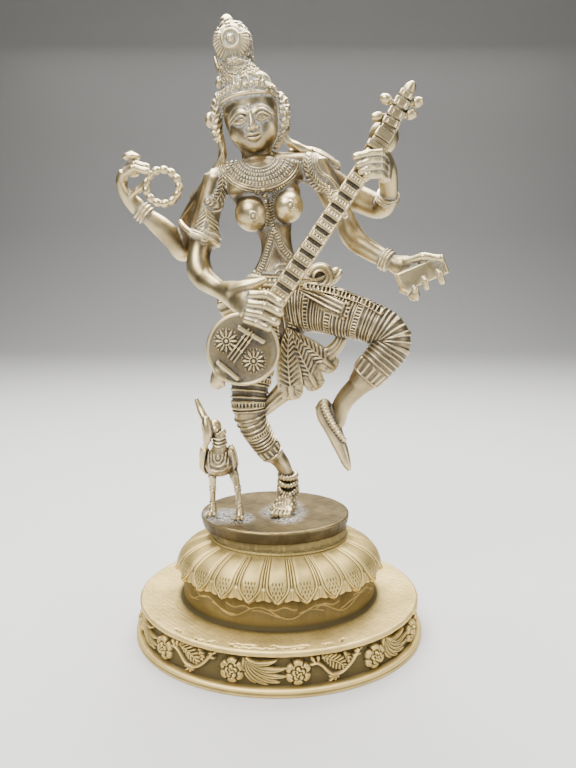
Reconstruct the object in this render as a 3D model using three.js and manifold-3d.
// A dancing four-armed goddess with a long lute, cast in brass, on an oval lotus plinth.
// Millimetres, Z up. The origin is the middle of the plinth's underside, and the front faces -Y.
// Left and right in names are the viewer's.
import * as THREE from 'three';
import Module from 'manifold-3d';
import { mergeVertices } from 'three/addons/utils/BufferGeometryUtils.js';
import { ParametricGeometry } from 'three/addons/geometries/ParametricGeometry.js';

// Plinth: a foot rim, a carved frieze, a wide disc, a drum, hanging petals and a neck
const plinthWidth = 190;
const plinthDepth = 152;
const footHeight = 4.6;
const footLip = 1.2;           // the small step on top of the foot rim
const friezeHeight = 17.4;
const friezeInset = 5;         // how far the frieze stands back from the foot rim
const edgeHeight = 3.6;        // the plain edge of the disc over the frieze
const edgeInset = 3;
const discDrop = 1.4;          // how far the disc sinks from its edge to the drum
const drumWidth = 127;
const drumDepth = 99;
const drumHeight = 22.4;
const drumFillet = 3;
const neckWidth = 90;
const neckDepth = 71;
const neckHeight = 7.4;
const shoulderHeight = 17.4;   // from the drum up to the neck, under the petals
const petalCount = 22;
const petalReach = 3;          // how far a petal's tip stands out from the drum
const petalDrop = 20.4;        // from the foot of the neck down to a petal's tip
const petalCrown = 1.4;        // how far a petal swells between its neighbours
const friezePairs = 6;         // each pair is a rose, a leaf spray, a rose and a vine
const sprayShare = 0.44;       // of a pair, from rose to rose across the spray
const friezeStart = 0.197;     // where the first rose stands, as a share of a pair
const roseRadius = 7.2;
const roseRelief = 2.6;
const vineRadius = 1.4;
const discHeight = footHeight + friezeHeight + edgeHeight;
const plinthHeight = discHeight - discDrop + drumHeight + shoulderHeight + neckHeight;

// Slab that the figure was cast on
const slabWidth = 97;
const slabDepth = 77;
const slabHeight = 8.4;
const slabTaper = 1.4;         // how much less it reaches at its underside
const slabShift = -2.5;        // it sits a little to the left on the plinth
const castingGap = 0.3;        // between castings that rest on each other
const plinthSides = 32;        // facets round an oval
const slabSides = 28;

// Figure and bird, each laid out in parts of its own height
const figureHeight = 301;
const figureParts = 301;
const birdHeight = 76;
const birdParts = 76;
const birdPlace = [-39, -8];   // on the slab

const wasm = await Module();
wasm.setup();
const FRONT_TO_BACK = new THREE.Vector3(0, 1, 0);
const SIDEWAYS = new THREE.Vector3(1, 0, 0);

// Materials
const metal = (color, roughness) => new THREE.MeshStandardMaterial({ color, roughness, metalness: 1 });
const goldenBrass = metal(0xb08a45, 0.38);
const slabBrass = metal(0x8a6a3c, 0.42);
const darkBrass = metal(0x83603a, 0.4);

// Turns a closed geometry into a solid, whichever way its faces are wound
function solid(geometry) {
  const bare = new THREE.BufferGeometry();
  bare.setAttribute('position', geometry.getAttribute('position').clone());
  if (geometry.index) bare.setIndex(geometry.index.clone());
  const merged = mergeVertices(bare, 1e-3);
  const points = merged.getAttribute('position').array;
  const faces = [];
  let volume = 0;
  const corner = (i) => new THREE.Vector3().fromArray(points, 3 * i);
  for (let i = 0; i < merged.index.count; i += 3) {
    const [a, b, c] = [0, 1, 2].map((n) => merged.index.getX(i + n));
    if (a === b || b === c || c === a) continue;
    volume += corner(a).dot(corner(b).cross(corner(c)));
    faces.push([a, b, c]);
  }
  const triVerts = new Uint32Array(faces.flatMap(([a, b, c]) => (volume > 0 ? [a, b, c] : [a, c, b])));
  return new wasm.Manifold(new wasm.Mesh({ numProp: 3, vertProperties: new Float32Array(points), triVerts }));
}

const join = (solids) => solids.reduce((whole, next) => whole.add(next));

function named(name, whole, material) {
  const { vertProperties, triVerts } = whole.getMesh();
  const geometry = new THREE.BufferGeometry();
  geometry.setAttribute('position', new THREE.BufferAttribute(new Float32Array(vertProperties), 3));
  geometry.setIndex(new THREE.BufferAttribute(new Uint32Array(triVerts), 1));
  geometry.computeVertexNormals();
  const mesh = new THREE.Mesh(geometry, material);
  mesh.name = name;
  return mesh;
}

// A closed skin over rings of points; `ring(i, angle)` gives a point, and the ends run to poles
function skin(ringCount, sides, ring, firstPole, lastPole) {
  const rows = ringCount + 1;
  return new ParametricGeometry((u, v, target) => {
    const row = Math.round(v * rows);
    if (row === 0) target.copy(firstPole);
    else if (row === rows) target.copy(lastPole);
    else target.copy(ring(row - 1, 2 * Math.PI * (Math.round(u * sides) % sides) / sides));
  }, sides, rows);
}

// Oval rings [half width, half depth, height] stacked upwards
function ovalStack(rings, sides) {
  const pole = (height) => new THREE.Vector3(0, 0, height);
  const ring = (i, angle) => {
    const [a, b, height] = rings[i];
    return new THREE.Vector3(a * Math.cos(angle), b * Math.sin(angle), height);
  };
  return solid(skin(rings.length, sides, ring, pole(rings[0][2]), pole(rings.at(-1)[2])));
}

// Places spaced evenly round an oval, as angles of its parameter
function evenAngles(a, b, count, start = 0) {
  const steps = 720;
  const speed = (angle) => Math.hypot(a * Math.sin(angle), b * Math.cos(angle));
  const travelled = [0];
  for (let i = 0; i < steps; i += 1) {
    travelled.push(travelled[i] + speed(2 * Math.PI * (i + 0.5) / steps));
  }
  return Array.from({ length: count }, (_, k) => {
    const goal = travelled[steps] * (((k + start) / count) % 1);
    return 2 * Math.PI * travelled.findIndex((distance) => distance >= goal) / steps;
  });
}

// A point on an oval, with the ways out and along it there
function ovalFrame(a, b, angle, height) {
  const at = new THREE.Vector3(a * Math.cos(angle), b * Math.sin(angle), height);
  const out = new THREE.Vector3(Math.cos(angle) / a, Math.sin(angle) / b, 0).normalize();
  const along = new THREE.Vector3(-out.y, out.x, 0);
  return { at, out, along };
}

function spline(t, a, b, c, d) {
  return b + 0.5 * t * (c - a + t * (2 * a - 5 * b + 4 * c - d + t * (3 * (b - c) + d - a)));
}

// Stations with `steps` spans between each pair of them, on a smooth curve
function smooth(stations, steps) {
  const last = stations.length - 1;
  return Array.from({ length: last * steps + 1 }, (_, k) => {
    const i = Math.min(Math.floor(k / steps), last - 1);
    const near = [i - 1, i, i + 1, i + 2].map((n) => stations[Math.min(Math.max(n, 0), last)]);
    return near[1].map((_, n) => spline(k / steps - i, ...near.map((station) => station[n])));
  });
}

// Tools for forms given in parts of a figure's height; `unit` is one part in millimetres
function sculptor(unit) {
  const point = ([x, y, z]) => new THREE.Vector3(x, y, z).multiplyScalar(unit);

  // A limb through stations [x, y, z, half width, half depth]. Its width lies across `across`,
  // or square to the front view, and every other ring stands `ridge` proud.
  function limb(stations, { sides = 6, steps = 1, across = null, ridge = 0 } = {}) {
    const fine = smooth(stations, steps);
    const last = fine.length - 1;
    const centres = fine.map(point);
    const frames = fine.map((station, i) => {
      const along = centres[Math.min(i + 1, last)].clone().sub(centres[Math.max(i - 1, 0)]).normalize();
      const wide = across
        ? across.clone().addScaledVector(along, -across.dot(along)).normalize()
        : new THREE.Vector3().crossVectors(along, FRONT_TO_BACK).normalize();
      const deep = new THREE.Vector3().crossVectors(wide, along);
      const extra = ridge * (i % 2);
      return { along, wide, deep, w: (station[3] + extra) * unit, d: (station[4] + extra) * unit };
    });
    const ring = (i, angle) => centres[i].clone()
      .addScaledVector(frames[i].wide, frames[i].w * Math.cos(angle))
      .addScaledVector(frames[i].deep, frames[i].d * Math.sin(angle));
    const pole = (i, way) => centres[i].clone()
      .addScaledVector(frames[i].along, 0.4 * way * Math.min(frames[i].w, frames[i].d));
    return solid(skin(fine.length, sides, ring, pole(0, -1), pole(last, 1)));
  }

  // A ball with half sizes [x, y, z], tipped about the front-to-back axis by `tip` radians
  function ball(centre, halves, { sides = 10, rows = 8, tip = 0 } = {}) {
    const geometry = new THREE.SphereGeometry(1, sides, rows);
    geometry.rotateX(Math.PI / 2);
    geometry.scale(...halves.map((half) => half * unit));
    geometry.rotateY(tip);
    geometry.translate(...point(centre).toArray());
    return solid(geometry);
  }

  // A bar from one point to another, `width` across the front view and `depth` through it
  function bar(from, to, width, depth) {
    const [start, end] = [point(from), point(to)];
    const along = end.clone().sub(start);
    const wide = new THREE.Vector3().crossVectors(along, FRONT_TO_BACK).normalize();
    const deep = new THREE.Vector3().crossVectors(wide, along).normalize();
    const geometry = new THREE.BoxGeometry(width * unit, depth * unit, along.length());
    const turn = new THREE.Matrix4().makeBasis(wide, deep, along.clone().normalize());
    geometry.applyMatrix4(turn.setPosition(start.add(end).multiplyScalar(0.5)));
    return solid(geometry);
  }

  // A ring of beads facing the front
  function beadRing(centre, radius, thickness, beads) {
    const spans = 2;
    const round = 4;
    const geometry = new ParametricGeometry((u, v, target) => {
      const step = Math.round(u * beads * spans) % (beads * spans);
      const around = 2 * Math.PI * step / (beads * spans);
      const inside = 2 * Math.PI * (Math.round(v * round) % round) / round;
      const bead = thickness * (step % spans === 0 ? 0.72 : 1.08);
      const reach = radius + bead * Math.cos(inside);
      const offset = point([reach * Math.cos(around), bead * Math.sin(inside), reach * Math.sin(around)]);
      target.copy(point(centre).add(offset));
    }, beads * spans, round);
    return solid(geometry);
  }

  return { limb, ball, bar, beadRing, point };
}

// Plinth

function plinthDisc() {
  const [a, b] = [plinthWidth / 2, plinthDepth / 2];
  const friezeTop = footHeight + friezeHeight;
  const drumFoot = discHeight - discDrop;
  const inset = (step, height) => [a - step, b - step, height];
  return ovalStack([
    inset(0, 0),
    inset(0, footHeight - footLip),
    inset(footLip, footHeight),
    inset(friezeInset, footHeight + footLip / 2),
    inset(friezeInset, friezeTop),
    inset(edgeInset, friezeTop + footLip / 2),
    inset(edgeInset, discHeight - footLip / 2),
    inset(edgeInset + footLip, discHeight),
    [drumWidth / 2 + drumFillet, drumDepth / 2 + drumFillet, drumFoot],
    [drumWidth / 2 - drumFillet, drumDepth / 2 - drumFillet, drumFoot + 2 * drumFillet],
  ], plinthSides);
}

// The drum, the petals that bow out over it from the foot of the neck, and the neck
function lotusDrum() {
  const neckFoot = plinthHeight - neckHeight;
  const columns = [{ crown: -0.8, hem: 0.76, out: 0.92 }, { crown: 1, hem: 1, out: 1 }];
  const rows = [[0.82, 0.52, 1], [0.45, 0.2, 0.8]];
  const angles = evenAngles(drumWidth / 2, drumDepth / 2, petalCount * columns.length);
  const place = (angle, out, height, proud) => {
    const reach = (neck, drum) => neck / 2 + out * (drum / 2 + petalReach - neck / 2);
    const frame = ovalFrame(reach(neckWidth, drumWidth), reach(neckDepth, drumDepth), angle, height);
    return frame.at.addScaledVector(frame.out, proud);
  };
  const wall = (angle, height) => ovalFrame(drumWidth / 2, drumDepth / 2, angle, height).at;
  const neck = (angle, height) => ovalFrame(neckWidth / 2, neckDepth / 2, angle, height).at;
  const rings = [
    (angle) => wall(angle, discHeight - discDrop),
    (angle, { hem }) => wall(angle, neckFoot - (hem - 0.05) * petalDrop),
    (angle, { hem, out, crown }) => place(angle, out, neckFoot - hem * petalDrop, crown * petalCrown),
    ...rows.map(([out, drop, swell]) => (angle, { crown }) =>
      place(angle, out, neckFoot - drop * petalDrop, crown * petalCrown * swell)),
    (angle) => neck(angle, neckFoot),
    (angle) => neck(angle, plinthHeight),
  ];
  const ring = (i, turn) => {
    const column = Math.round(turn * angles.length / (2 * Math.PI)) % angles.length;
    return rings[i](angles[column], columns[column % columns.length]);
  };
  const pole = (height) => new THREE.Vector3(0, 0, height);
  return solid(skin(rings.length, angles.length, ring, pole(discHeight - discDrop), pole(plinthHeight)));
}

// The frieze: roses with a leaf spray and a vine between them by turns
function frieze() {
  const { limb } = sculptor(1);
  const face = [plinthWidth / 2 - friezeInset, plinthDepth / 2 - friezeInset];
  const middle = footHeight + friezeHeight / 2;
  const onFace = (angle, rise, proud) => {
    const { at, out } = ovalFrame(...face, angle, middle + rise * friezeHeight);
    return at.addScaledVector(out, proud).toArray();
  };
  const fine = 720;
  const angles = evenAngles(...face, fine);
  const along = (share) => angles[Math.round(share * fine / friezePairs) % fine];
  const blade = (points, half) => limb(points.map(([share, rise], n) => [
    ...onFace(along(share), rise, 0), n === points.length - 1 ? half * 0.4 : half, roseRelief * 0.7,
  ]), { sides: 3 });
  const carved = [];
  for (let i = 0; i < friezePairs; i += 1) {
    const start = i + friezeStart;
    for (const share of [start, start + sprayShare]) {
      const { at, out, along: sideways } = ovalFrame(...face, along(share), middle - 0.04 * friezeHeight);
      const rose = new THREE.CylinderGeometry(0.55, 1, 2, 6);
      rose.scale(roseRadius, roseRelief, roseRadius * 1.1);
      rose.applyMatrix4(new THREE.Matrix4().makeBasis(sideways, out, new THREE.Vector3(0, 0, 1)).setPosition(at));
      carved.push(solid(rose));
    }
    const spray = start + sprayShare / 2;
    carved.push(blade([[spray - 0.09, 0.4], [spray + 0.01, 0.05], [spray + 0.09, -0.25]], 3));
    const vine = start + (1 + sprayShare) / 2;
    carved.push(blade([[vine - 0.17, 0.1], [vine, -0.22], [vine + 0.17, 0.36]], vineRadius));
    carved.push(blade([[vine - 0.09, 0.34], [vine + 0.09, 0.3]], 2.6));
  }
  return carved;
}

// Figure

const RIGHT_SHOULDER = [-38.6, 4, 209.4];
const LEFT_SHOULDER = [23, 5, 218];
const figure = sculptor(figureHeight / figureParts);
const { limb, ball, bar } = figure;

function torso() {
  const body = limb([
    [0, 4, 108, 12, 9], [-0.7, 4, 117, 18.6, 13], [-0.7, 4, 129, 22, 14.6], [-0.6, 4, 140, 21.8, 14.5],
    [-0.5, 4, 149, 19, 12.8], [-0.4, 3.5, 157, 14.4, 10.6], [-0.8, 3, 166, 10.2, 8.8],
    [-1.8, 3, 176, 9.8, 8.8], [-4, 3, 186, 13.4, 10.6], [-6.6, 3, 196, 17.8, 12.4],
    [-8.6, 3.5, 204, 21.5, 12.6], [-9.2, 4, 211, 25, 11.6], [-10, 4, 217, 20, 9.6], [-11.6, 3, 221, 11, 8],
  ], { sides: 8 });
  const breasts = [[-14.8, -8, 190.5], [6.3, -7.5, 194.5]]
    .map((at) => ball(at, [9.2, 10.4, 9.8], { sides: 7, rows: 5 }));
  const yoke = limb([
    [...RIGHT_SHOULDER, 7.2, 7.4], [-24, 4, 213, 7.6, 8.6], [-10, 4, 215.6, 8, 9], [8, 5, 218.4, 7.6, 8.6],
    [...LEFT_SHOULDER, 7.8, 7.6],
  ]);
  const necklace = limb([
    [-10.6, -2, 205, 19.4, 13.6], [-11.2, -0.5, 212, 19.4, 12.4], [-11.6, 1, 218, 13, 10.5],
  ], { sides: 8 });
  return [body, ...breasts, yoke, necklace];
}

function head() {
  const lean = -0.17;
  const neck = limb([[-11.6, 3, 214, 9.6, 8.6], [-12.6, 2.5, 222, 8.6, 8], [-14, 3, 232, 8.6, 8.4]]);
  const skull = ball([-16.6, 1.5, 248.5], [16.4, 17.4, 23.8], { sides: 9, rows: 7, tip: lean });
  const jaw = ball([-14.4, -3, 236.4], [12.4, 11.4, 12.4], { sides: 7, rows: 5, tip: lean });
  const nose = limb([[-17.2, -14, 251, 1.4, 2.4], [-16.2, -16.4, 244, 2.4, 3.2]], { sides: 4 });
  const band = limb([
    [-18, 1.5, 258.6, 16.6, 17], [-18.6, 1.5, 261.4, 17.2, 17.6], [-19.2, 1.5, 264.4, 16.2, 16.6],
  ], { sides: 8 });
  const hair = limb([
    [-13, 9, 226, 9, 6], [-14.6, 11, 238, 14, 8.6], [-17, 9, 252, 16.4, 11.6], [-19, 5, 263, 15, 12],
  ], { sides: 6 });
  return [neck, skull, jaw, nose, band, hair];
}

function crown() {
  const tower = limb([
    [-18.8, 1, 262, 16, 16.4], [-21.2, 1, 269.4, 15, 15.4], [-23.2, 1, 274.6, 12.2, 12.8],
    [-24.4, 1, 279, 12, 12.4], [-26, 1, 288, 12.2, 12.2], [-26.8, 1, 292, 10.2, 10.4],
    [-27.8, 1, 295.6, 7.4, 7.6], [-28.8, 1, 297, 3.8, 4], [-29.6, 1, 299, 4.4, 4.4],
    [-30.2, 1, 300.4, 2.6, 2.6],
  ], { sides: 8 });
  const disc = ball([-26, -10.6, 283.6], [8.6, 3.2, 9.2], { sides: 7, rows: 4 });
  const boss = ball([-26.4, -13, 284], [4.8, 3, 4.8], { sides: 6, rows: 4 });
  const gem = ball([-19.4, -15.6, 266], [3.4, 3, 4], { sides: 5, rows: 4 });
  const leaves = [[-33.6, -3, 268.5], [-5.6, -3, 266]]
    .map((at) => ball(at, [3, 4.4, 4.6], { sides: 5, rows: 4 }));
  return [tower, disc, boss, gem, ...leaves];
}

// Ears with their pendants, and a lock of hair running to each shoulder
function earrings() {
  return [
    limb([
      [-37.6, 5, 254, 3.4, 4], [-39, 4, 246, 4.4, 4.6], [-38.6, 3, 238, 3.6, 4], [-36.4, 3, 230, 2.2, 2.8],
      [-37.2, 3, 222, 2.2, 2.6], [-39, 4, 216, 2.6, 3],
    ], { sides: 5 }),
    limb([
      [-0.6, 5, 257, 3.2, 4], [2.4, 4, 248, 4.4, 4.6], [2.8, 3, 239, 3.4, 4], [7, 3, 231.4, 2.2, 2.6],
      [13, 4, 227.4, 2.4, 2.6], [20, 5, 223, 2.6, 3],
    ], { sides: 5 }),
  ];
}

const finger = (from, to, half) =>
  limb([[...from, half, half], [...to, half * 0.85, half * 0.85]], { sides: 4 });

const armlet = (at, way, half) => {
  const step = (share) => at.map((value, n) => value + share * way[n]);
  return limb([[...step(-1), half, half], [...step(0), half + 1.8, half + 1.8], [...step(1), half, half]]);
};

// The plucking arm, over the foot of the lute's neck
function frontRightArm() {
  const arm = limb([
    [...RIGHT_SHOULDER, 7.8, 8], [-41.4, 3.6, 200, 8, 8.1], [-44.8, 2, 186, 7.9, 8],
    [-46.6, 0, 175, 7.6, 7.6], [-48.4, -2, 167, 7, 7], [-49, -4, 160.5, 7.3, 7.2], [-48, -6, 154.6, 7.8, 7.2],
    [-44.8, -9, 149.6, 7.1, 6.6], [-39.8, -14, 146, 6.2, 5.8], [-34, -19, 142.8, 5.5, 4.8],
    [-28.4, -24, 141, 7.2, 4.4], [-21.8, -29, 138.4, 8.5, 4.2], [-14.4, -35, 132.6, 7.4, 3.6],
  ]);
  const fingers = [
    [[-13, -37, 136.2], [4.2, -41.5, 132.4]], [[-14, -37.5, 131.8], [4.2, -42, 127.4]],
    [[-16, -37, 127.8], [2, -42, 123.3]], [[-17, -36, 124.6], [-3.6, -41, 120.6]],
  ].map(([from, to]) => finger(from, to, 2.1));
  const thumb = finger([-22, -27, 144.6], [-6.2, -32, 149], 2.4);
  return [arm, armlet([-46.2, 0, 175], [-0.7, -0.6, -3], 8), ...fingers, thumb];
}

// The raised arm with a ring of beads
function backRightArm() {
  const arm = limb([
    [-36, 11, 210, 7.2, 7], [-46, 12, 200, 7.4, 7.2], [-54, 12.5, 186, 7.2, 7], [-59.5, 12.5, 174, 7.2, 7],
    [-61.4, 12, 168, 6.8, 6.8], [-66, 10.4, 174.4, 6.9, 6.6], [-74.4, 8, 182.6, 6.4, 6],
    [-83.6, 6, 190, 4.6, 4.4], [-88.4, 4.4, 194.8, 5.2, 3.6], [-93.6, 3, 200.6, 3.8, 4.6], [-95.8, 1.6, 207.6, 3.4, 5],
    [-93.4, 0, 213, 3.4, 4.6],
  ]);
  const fingers = [
    [[-93, -3, 212.6], [-78.6, -5, 213.2]], [[-93, 0, 214], [-79, -2, 215.6]],
    [[-91.6, 1.6, 198.6], [-79.4, -4, 205]],
  ].map(([from, to]) => finger(from, to, 1.9));
  const pot = limb([[-89, 1, 213, 4.4, 4.4], [-88.8, 1, 218.4, 3.4, 3.4], [-88.8, 1, 220.4, 3, 3],
    [-88.8, 1, 221.6, 5, 5], [-88.9, 1, 224.4, 3.8, 3.8]], { sides: 6 });
  const beads = figure.beadRing([-69.6, -4, 204.2], 9.4, 2.2, 9);
  return [arm, armlet([-85, 5.6, 191.2], [-1.6, -0.4, 1.5], 4.6), ...fingers, pot, beads];
}

// The lowered arm with a palm-leaf book
function frontLeftArm() {
  const arm = limb([
    [...LEFT_SHOULDER, 8.2, 8.2], [28, 4, 208.4, 7.8, 8], [32.8, 3, 199.6, 7.4, 7.6], [37.6, 1, 190.4, 6.9, 7],
    [42, 0, 182.6, 6.7, 6.8], [45.4, -2, 175.4, 7, 6.6], [50.6, -5, 170, 6.4, 6.2], [58, -8, 165, 5.9, 5.6],
    [63.8, -11, 161.4, 5, 4.8], [67.4, -13, 159.2, 4.6, 4.2], [74, -18, 156.4, 6.4, 3.8],
    [82, -21, 156.6, 5, 3.4],
  ]);
  const thumb = finger([76, -21, 160], [92.4, -24, 161.4], 2.2);
  const fingers = [[[84, -19, 154], [95.6, -21, 147.2]], [[80, -18, 152], [87.4, -22, 146.4]],
    [[78, -21, 150], [82, -18, 138]]].map(([from, to]) => finger(from, to, 2.1));
  const book = bar([69.6, -24, 147.4], [97.6, -24, 156.2], 11.6, 7);
  return [arm, armlet([66, -12.4, 160.2], [1.7, -0.9, -1.1], 5), thumb, ...fingers, book];
}

// The raised arm that grips the head of the lute
function backLeftArm() {
  const arm = limb([
    [16, 11, 217, 7.6, 7], [30, 12, 212, 8, 7.4], [42, 12.5, 204, 8.2, 7.6], [54, 12, 198.4, 8, 7.6],
    [62, 10, 195, 7.6, 7.6], [66, 4, 195.4, 6.4, 6.6], [66.9, -3, 200, 5.4, 5.2], [65.4, -9, 206, 5.6, 4.6],
    [63.6, -14, 212, 5.6, 4.4], [60.4, -18, 218, 5, 4.6],
  ], { across: SIDEWAYS });
  const fingers = [[217.6, 42.6, 214.6], [213.8, 43, 210.6], [210, 44.4, 207], [206.4, 47.6, 204]]
    .map(([from, tipX, to]) => finger([60.4, -23, from], [tipX, -30, to], 2));
  const knuckles = limb([[61.4, -21, 205, 3.6, 4], [61.6, -20, 212, 4, 4.4], [60.4, -20, 218.6, 3.6, 4]],
    { sides: 5 });
  return [arm, armlet([66.8, -2, 198.8], [0.2, -1.6, 1.4], 5.2), ...fingers, knuckles];
}

// The leggings are ringed with raised bands
const legging = { sides: 7, steps: 2, ridge: 0.9 };

function standingLeg() {
  const thighAndCalf = limb([
    [-6, 3, 124, 15, 13], [-11, 2, 112, 14, 13.4], [-15.2, 0, 98, 13, 12.8], [-18, -3, 84, 12, 12],
    [-18.9, -5.4, 70, 9.8, 10.6], [-17, -4.2, 60, 8.6, 9.8], [-9.6, 1, 45, 7.4, 8.2], [-4, 3.6, 36.6, 6.8, 7.2],
  ], legging);
  const shin = limb([
    [-8, 2, 43, 6.6, 7.4], [-3, 4.4, 36, 6, 6.6], [1.8, 6, 29.6, 5.1, 5.6], [5.2, 7, 21, 4.6, 4.8],
    [6.8, 7.6, 13, 4.6, 5.2], [6.8, 8, 4.6, 4.6, 5.8],
  ]);
  const foot = limb([
    [7, 14, 3.4, 3.6, 3.2], [6.6, 8, 5.4, 5, 5.2], [5.2, 1, 6, 5.6, 5.4], [3.2, -7, 3.6, 7.4, 3.4],
    [1.4, -13, 2.2, 8.6, 2], [0.8, -16.4, 1.6, 6, 1.4],
  ], { across: SIDEWAYS });
  const anklet = armlet([6.6, 7, 13.6], [0.2, 0.2, -2.2], 5);
  return [thighAndCalf, shin, foot, anklet];
}

function raisedLeg() {
  const thigh = limb([
    [4, 4, 131, 15, 13.6], [17, 0, 132.4, 14.7, 14], [29, -5, 131, 14.3, 13.6], [39, -10, 128.4, 13.4, 12.8],
    [49.4, -14, 125.4, 12, 11.8], [60, -18, 121.6, 11, 11], [69.4, -21, 117, 10.6, 10.4],
  ], legging);
  const calf = limb([
    [70, -21.6, 114.6, 9.6, 9.8], [67, -21.8, 107.6, 10.4, 10.2], [61.6, -21.2, 99.8, 10.4, 9.8],
    [55.6, -20.4, 92.4, 9.6, 9.2], [50.2, -19.8, 87.2, 8.4, 8.2],
  ], legging);
  const shin = limb([
    [52.6, -20, 88.4, 7, 7], [45.6, -19, 82, 6.3, 6.3], [40.2, -18.2, 76, 5.4, 5.6], [36.8, -18, 70.6, 4.6, 5],
    [35.4, -18.4, 64, 4.8, 5],
  ]);
  const foot = limb([
    [25.4, -16, 72, 3, 3.6], [28, -17, 67.4, 5.2, 4.8], [32.2, -19, 60, 6, 5.2], [35.6, -20.6, 52, 4.6, 4.6],
    [38.8, -22, 44.6, 3.9, 3.8], [41.6, -23.4, 38, 2.9, 2.8], [43, -24, 34.6, 1.4, 1.6],
  ]);
  return [thigh, calf, shin, foot];
}

// Lute: a round body with a flat face, a fretted neck, a peg box and a second gourd behind its head
const LUTE_FOOT = [-9.6, -34, 124];
const LUTE_NUT = [55, -23.4, 219.6];
const onNeck = (share) => LUTE_FOOT.map((value, n) => value + share * (LUTE_NUT[n] - value));

function luteBody() {
  const centre = [-20, -27, 108.8];
  const unit = figureHeight / figureParts;
  const profile = [[0, 15], [11, 12.6], [18.6, 5], [20.8, -5], [20.8, -8.6], [19, -8.6], [18.4, -7.6], [0, -7.6]]
    .map(([r, y]) => new THREE.Vector2(r * unit, y * unit));
  const bowl = new THREE.LatheGeometry(profile, 14);
  bowl.translate(...figure.point(centre).toArray());
  const face = centre[1] - 7.4;
  const roses = [[-29, 114], [-13.2, 102.6]]
    .map(([x, z]) => ball([x, face, z], [6.1, 2.4, 6.1], { sides: 6, rows: 4 }));
  const bridge = bar([-22.6, face - 0.2, 121.6], [-9, face - 0.2, 113.4], 2.6, 2);
  const tailBar = bar([-34.2, face - 0.6, 102.4], [-23, face - 0.6, 92], 3, 2.6);
  const tail = limb([
    [-33.7, -31, 95, 4, 5], [-36.4, -32, 90, 3.4, 4.6], [-36.8, -32, 85.6, 2.2, 3.6],
  ], { sides: 5 });
  return [solid(bowl), ...roses, bridge, tailBar, tail];
}

// The neck's side is a flight of fret blocks, drawn once and pushed out across its width
function luteNeck() {
  const [frets, firstFret, pitch, block] = [13, 0.145, 0.066, 0.041];
  const [lowWidth, highWidth] = [11.6, 8.8];
  const [back, floor, top] = [2.6, -2.6, -4.6];
  const start = new THREE.Vector3(...onNeck(0));
  const along = new THREE.Vector3(...onNeck(1)).sub(start);
  const length = along.length();
  const outline = [[-0.02, back], [-0.02, floor]];
  for (let k = 0; k < frets; k += 1) {
    const from = firstFret + pitch * k;
    outline.push([from, floor], [from, top], [from + block, top], [from + block, floor]);
  }
  outline.push([1.02, floor], [1.02, back]);
  const side = new THREE.Shape(outline.map(([share, depth]) => new THREE.Vector2(share * length, depth)));
  const geometry = new THREE.ExtrudeGeometry(side, { depth: 1, bevelEnabled: false });
  const position = geometry.getAttribute('position');
  for (let i = 0; i < position.count; i += 1) {
    const width = lowWidth + (highWidth - lowWidth) * position.getX(i) / length;
    position.setZ(i, (position.getZ(i) - 0.5) * width);
  }
  along.normalize();
  const wide = new THREE.Vector3().crossVectors(along, FRONT_TO_BACK).normalize();
  const deep = new THREE.Vector3().crossVectors(wide, along);
  const turn = new THREE.Matrix4().makeBasis(along, deep, wide).setPosition(start);
  const unit = figureHeight / figureParts;
  geometry.applyMatrix4(turn).scale(unit, unit, unit);
  return [solid(geometry)];
}

function luteHead() {
  const collar = bar([54.4, -24, 219.6], [56.6, -23.6, 223], 12, 9);
  const stem = limb([
    [55, -23, 220, 4.6, 4], [59.6, -22, 227.4, 4.4, 4], [62.4, -21.5, 233, 4.6, 3.8],
    [65.5, -21, 240, 4.2, 3.6], [69.3, -20.4, 247, 3.6, 3.2], [72.6, -20, 251.6, 3.6, 3], [75, -20.4, 255.2, 2.8, 2.8],
  ], { sides: 6 });
  const steps = [[[58, -23, 225], [60.8, -22.6, 229.4], 9.4], [[61.4, -22.4, 230.8], [63.4, -22, 234.6], 10.2]]
    .map(([from, to, width]) => bar(from, to, width, 8));
  const pegs = [
    [[53.6, -20.6, 240.6], [65, -20.6, 238.6]], [[66, -20.6, 240.8], [77.6, -20.6, 241]],
    [[58.6, -20.4, 250.4], [69, -20.4, 246.4]], [[70, -20.4, 248.6], [81.4, -20.4, 247.8]],
  ].map(([from, to]) => limb([[...from, 2.4, 2.4], [...to, 1.7, 1.8]], { sides: 4 }));
  const gourd = ball([61.6, -11.6, 230.6], [8.6, 8, 9.4], { sides: 7, rows: 5 });
  return [collar, stem, ...steps, ...pegs, gourd];
}

// Sash: three pleated lobes that fan out below the hips, with a web to each leg
function sash() {
  const flat = { sides: 5 };
  const lobes = [
    [[7.4, -7, 117, 2.4, 3], [6.6, -9, 104, 4.6, 2.4], [7, -9.4, 90, 6.4, 2.2], [8.6, -8.4, 74, 5, 1.8]],
    [[8.6, -7, 116, 2.4, 3], [13.6, -8.4, 104, 4.8, 2.4], [19.2, -8, 92, 6.2, 2.2], [22.8, -7, 84, 4.8, 1.8]],
    [[9.6, -7, 115, 2.4, 3], [20, -8.4, 107.6, 4.2, 2.4], [28.8, -8, 100.6, 5.8, 2.2], [34.6, -7, 95.6, 4, 2]],
  ].map((stations) => limb(stations, flat));
  const rise = limb([[29, -7.6, 101, 4.2, 2], [35, -8, 106.4, 4.6, 2.4], [40.4, -9, 116, 4, 3]], flat);
  const web = limb([[5, -8.6, 84, 4.2, 2], [-2, -8, 75.4, 4.4, 2.4], [-12, -6, 67, 4.4, 3]], flat);
  return [...lobes, rise, web];
}

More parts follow.
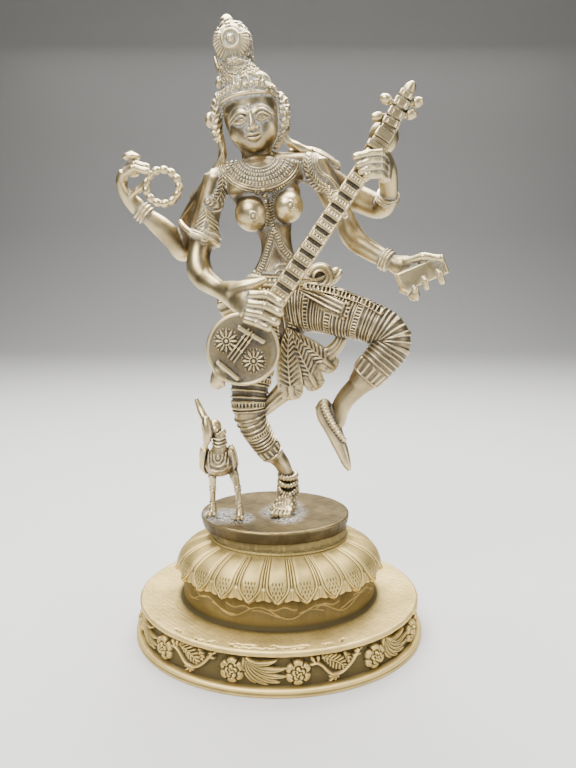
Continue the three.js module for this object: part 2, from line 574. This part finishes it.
// Ends of the scarf behind the hips and shoulders
function scarf() {
  const bow = figure.beadRing([26.6, 12, 151], 5.6, 3.2, 4);
  const ends = [
    [[14, 9, 148, 6, 4], [24, 12, 147, 5, 2.6], [35, 14, 152, 3.6, 2.2], [38, 15, 155.6, 2, 1.6]],
    [[-18, 10, 140, 5, 4], [-29, 13, 134, 4.6, 2.8], [-38.4, 14, 131.4, 3.6, 2.2]],
    [[-32.6, 9, 214.6, 4.6, 4], [-43, 11, 206.4, 5.2, 3], [-53, 13, 198, 4.4, 2.2]],
    [[-46, 8, 200, 5, 4], [-53, 10, 191, 5.4, 3.6], [-60, 12, 185, 3.4, 3]],
    [[8, 9, 225.6, 3.4, 4], [20, 11, 225.6, 4.6, 3], [31, 12.6, 221.4, 4, 2.4], [37.4, 13.4, 219.6, 2.2, 2]],
  ].map((stations) => limb(stations, { sides: 5 }));
  return [bow, ...ends];
}

// Bird, in parts of its own height from where it stands
function bird() {
  const tool = sculptor(birdHeight / birdParts);
  const body = tool.limb([
    [1.4, 17, 30, 2, 2], [1.6, 11, 31.4, 6, 6], [2, 4, 33, 9, 8.4], [2.4, -1, 35.6, 9.4, 9],
    [2.4, -4, 43, 6, 6.4], [2.2, -4.4, 50, 4.4, 4.6], [0, -4, 57, 4.6, 5],
  ], { sides: 6, across: SIDEWAYS });
  const skull = tool.ball([-2, -4, 58], [4.8, 5.4, 5.2], { sides: 6, rows: 5 });
  const beak = tool.limb([
    [-5.4, -5, 62.4, 2.6, 3], [-6.4, -8, 56, 3.6, 3], [-5.8, -9, 50, 2.6, 2.6], [-5.8, -9.6, 45.6, 0.9, 1],
  ], { sides: 5 });
  const crest = tool.limb([[-5.6, -3, 61.6, 2.2, 2], [-9.6, 0, 69, 1.9, 1.8], [-12.8, 2, 75.4, 1.4, 1.4]],
    { sides: 4 });
  const knob = tool.ball([2.6, -1, 55.6], [2.7, 2.7, 2.7], { sides: 6, rows: 4 });
  const wings = [[-7, -4.6], [9.6, 7.4]].map(([x, low]) => tool.limb([
    [x, -4, 44, 2, 4], [x * 1.12, 1, 36, 2.6, 6.4], [x, 7, 29, 2.4, 5], [low, 13, 25, 1.4, 2.6],
  ], { sides: 4 }));
  const legs = [
    [[-3.6, 1, 28, 3.2, 3.2], [-3.4, 0, 20, 2.1, 2.3], [-3.6, 0, 8, 1.9, 2.1], [-3.8, -0.6, 2.2, 3, 4]],
    [[9.8, 0, 28, 3.2, 3.2], [12.6, -3, 19, 2.1, 2.3], [14, -6, 8, 1.9, 2.1], [14.4, -7.4, 2.2, 3, 4]],
  ].map((stations) => tool.limb(stations, { sides: 5 }));
  const feet = [[-4, 0], [14.2, -6.8]].map(([x, y]) => tool.limb([
    [x + 0.6, y + 4.6, 2, 1.8, 1.9], [x, y, 2.3, 2.6, 2.2], [x - 0.6, y - 5.4, 1.4, 3.8, 1.3],
  ], { sides: 5, across: SIDEWAYS }));
  return [body, skull, beak, crest, knob, ...wings, ...legs, ...feet];
}

// Assembly, each casting resting on the one below it
const slabFoot = plinthHeight + castingGap;
const slabTop = slabFoot + slabHeight;
const piece = new THREE.Group();

piece.add(named('lotus_base', join([plinthDisc(), lotusDrum(), ...frieze()]), goldenBrass));

const slab = named('slab', ovalStack([
  [slabWidth / 2 - slabTaper, slabDepth / 2 - slabTaper, 0],
  [slabWidth / 2, slabDepth / 2, slabHeight * 0.55],
  [slabWidth / 2, slabDepth / 2, slabHeight - 0.9],
  [slabWidth / 2 - 0.9, slabDepth / 2 - 0.9, slabHeight],
], slabSides), slabBrass);
slab.position.set(slabShift, 0, slabFoot);
piece.add(slab);

const goddess = named('figure', join([
  ...torso(), ...head(), ...crown(), ...earrings(), ...frontRightArm(), ...backRightArm(), ...frontLeftArm(),
  ...backLeftArm(), ...standingLeg(), ...raisedLeg(), ...luteBody(), ...luteNeck(), ...luteHead(), ...sash(),
  ...scarf(),
]), darkBrass);
goddess.position.z = slabTop + castingGap;
piece.add(goddess);

const crestedBird = named('bird', join(bird()), darkBrass);
crestedBird.position.set(...birdPlace, slabTop + castingGap);
piece.add(crestedBird);

export default piece;
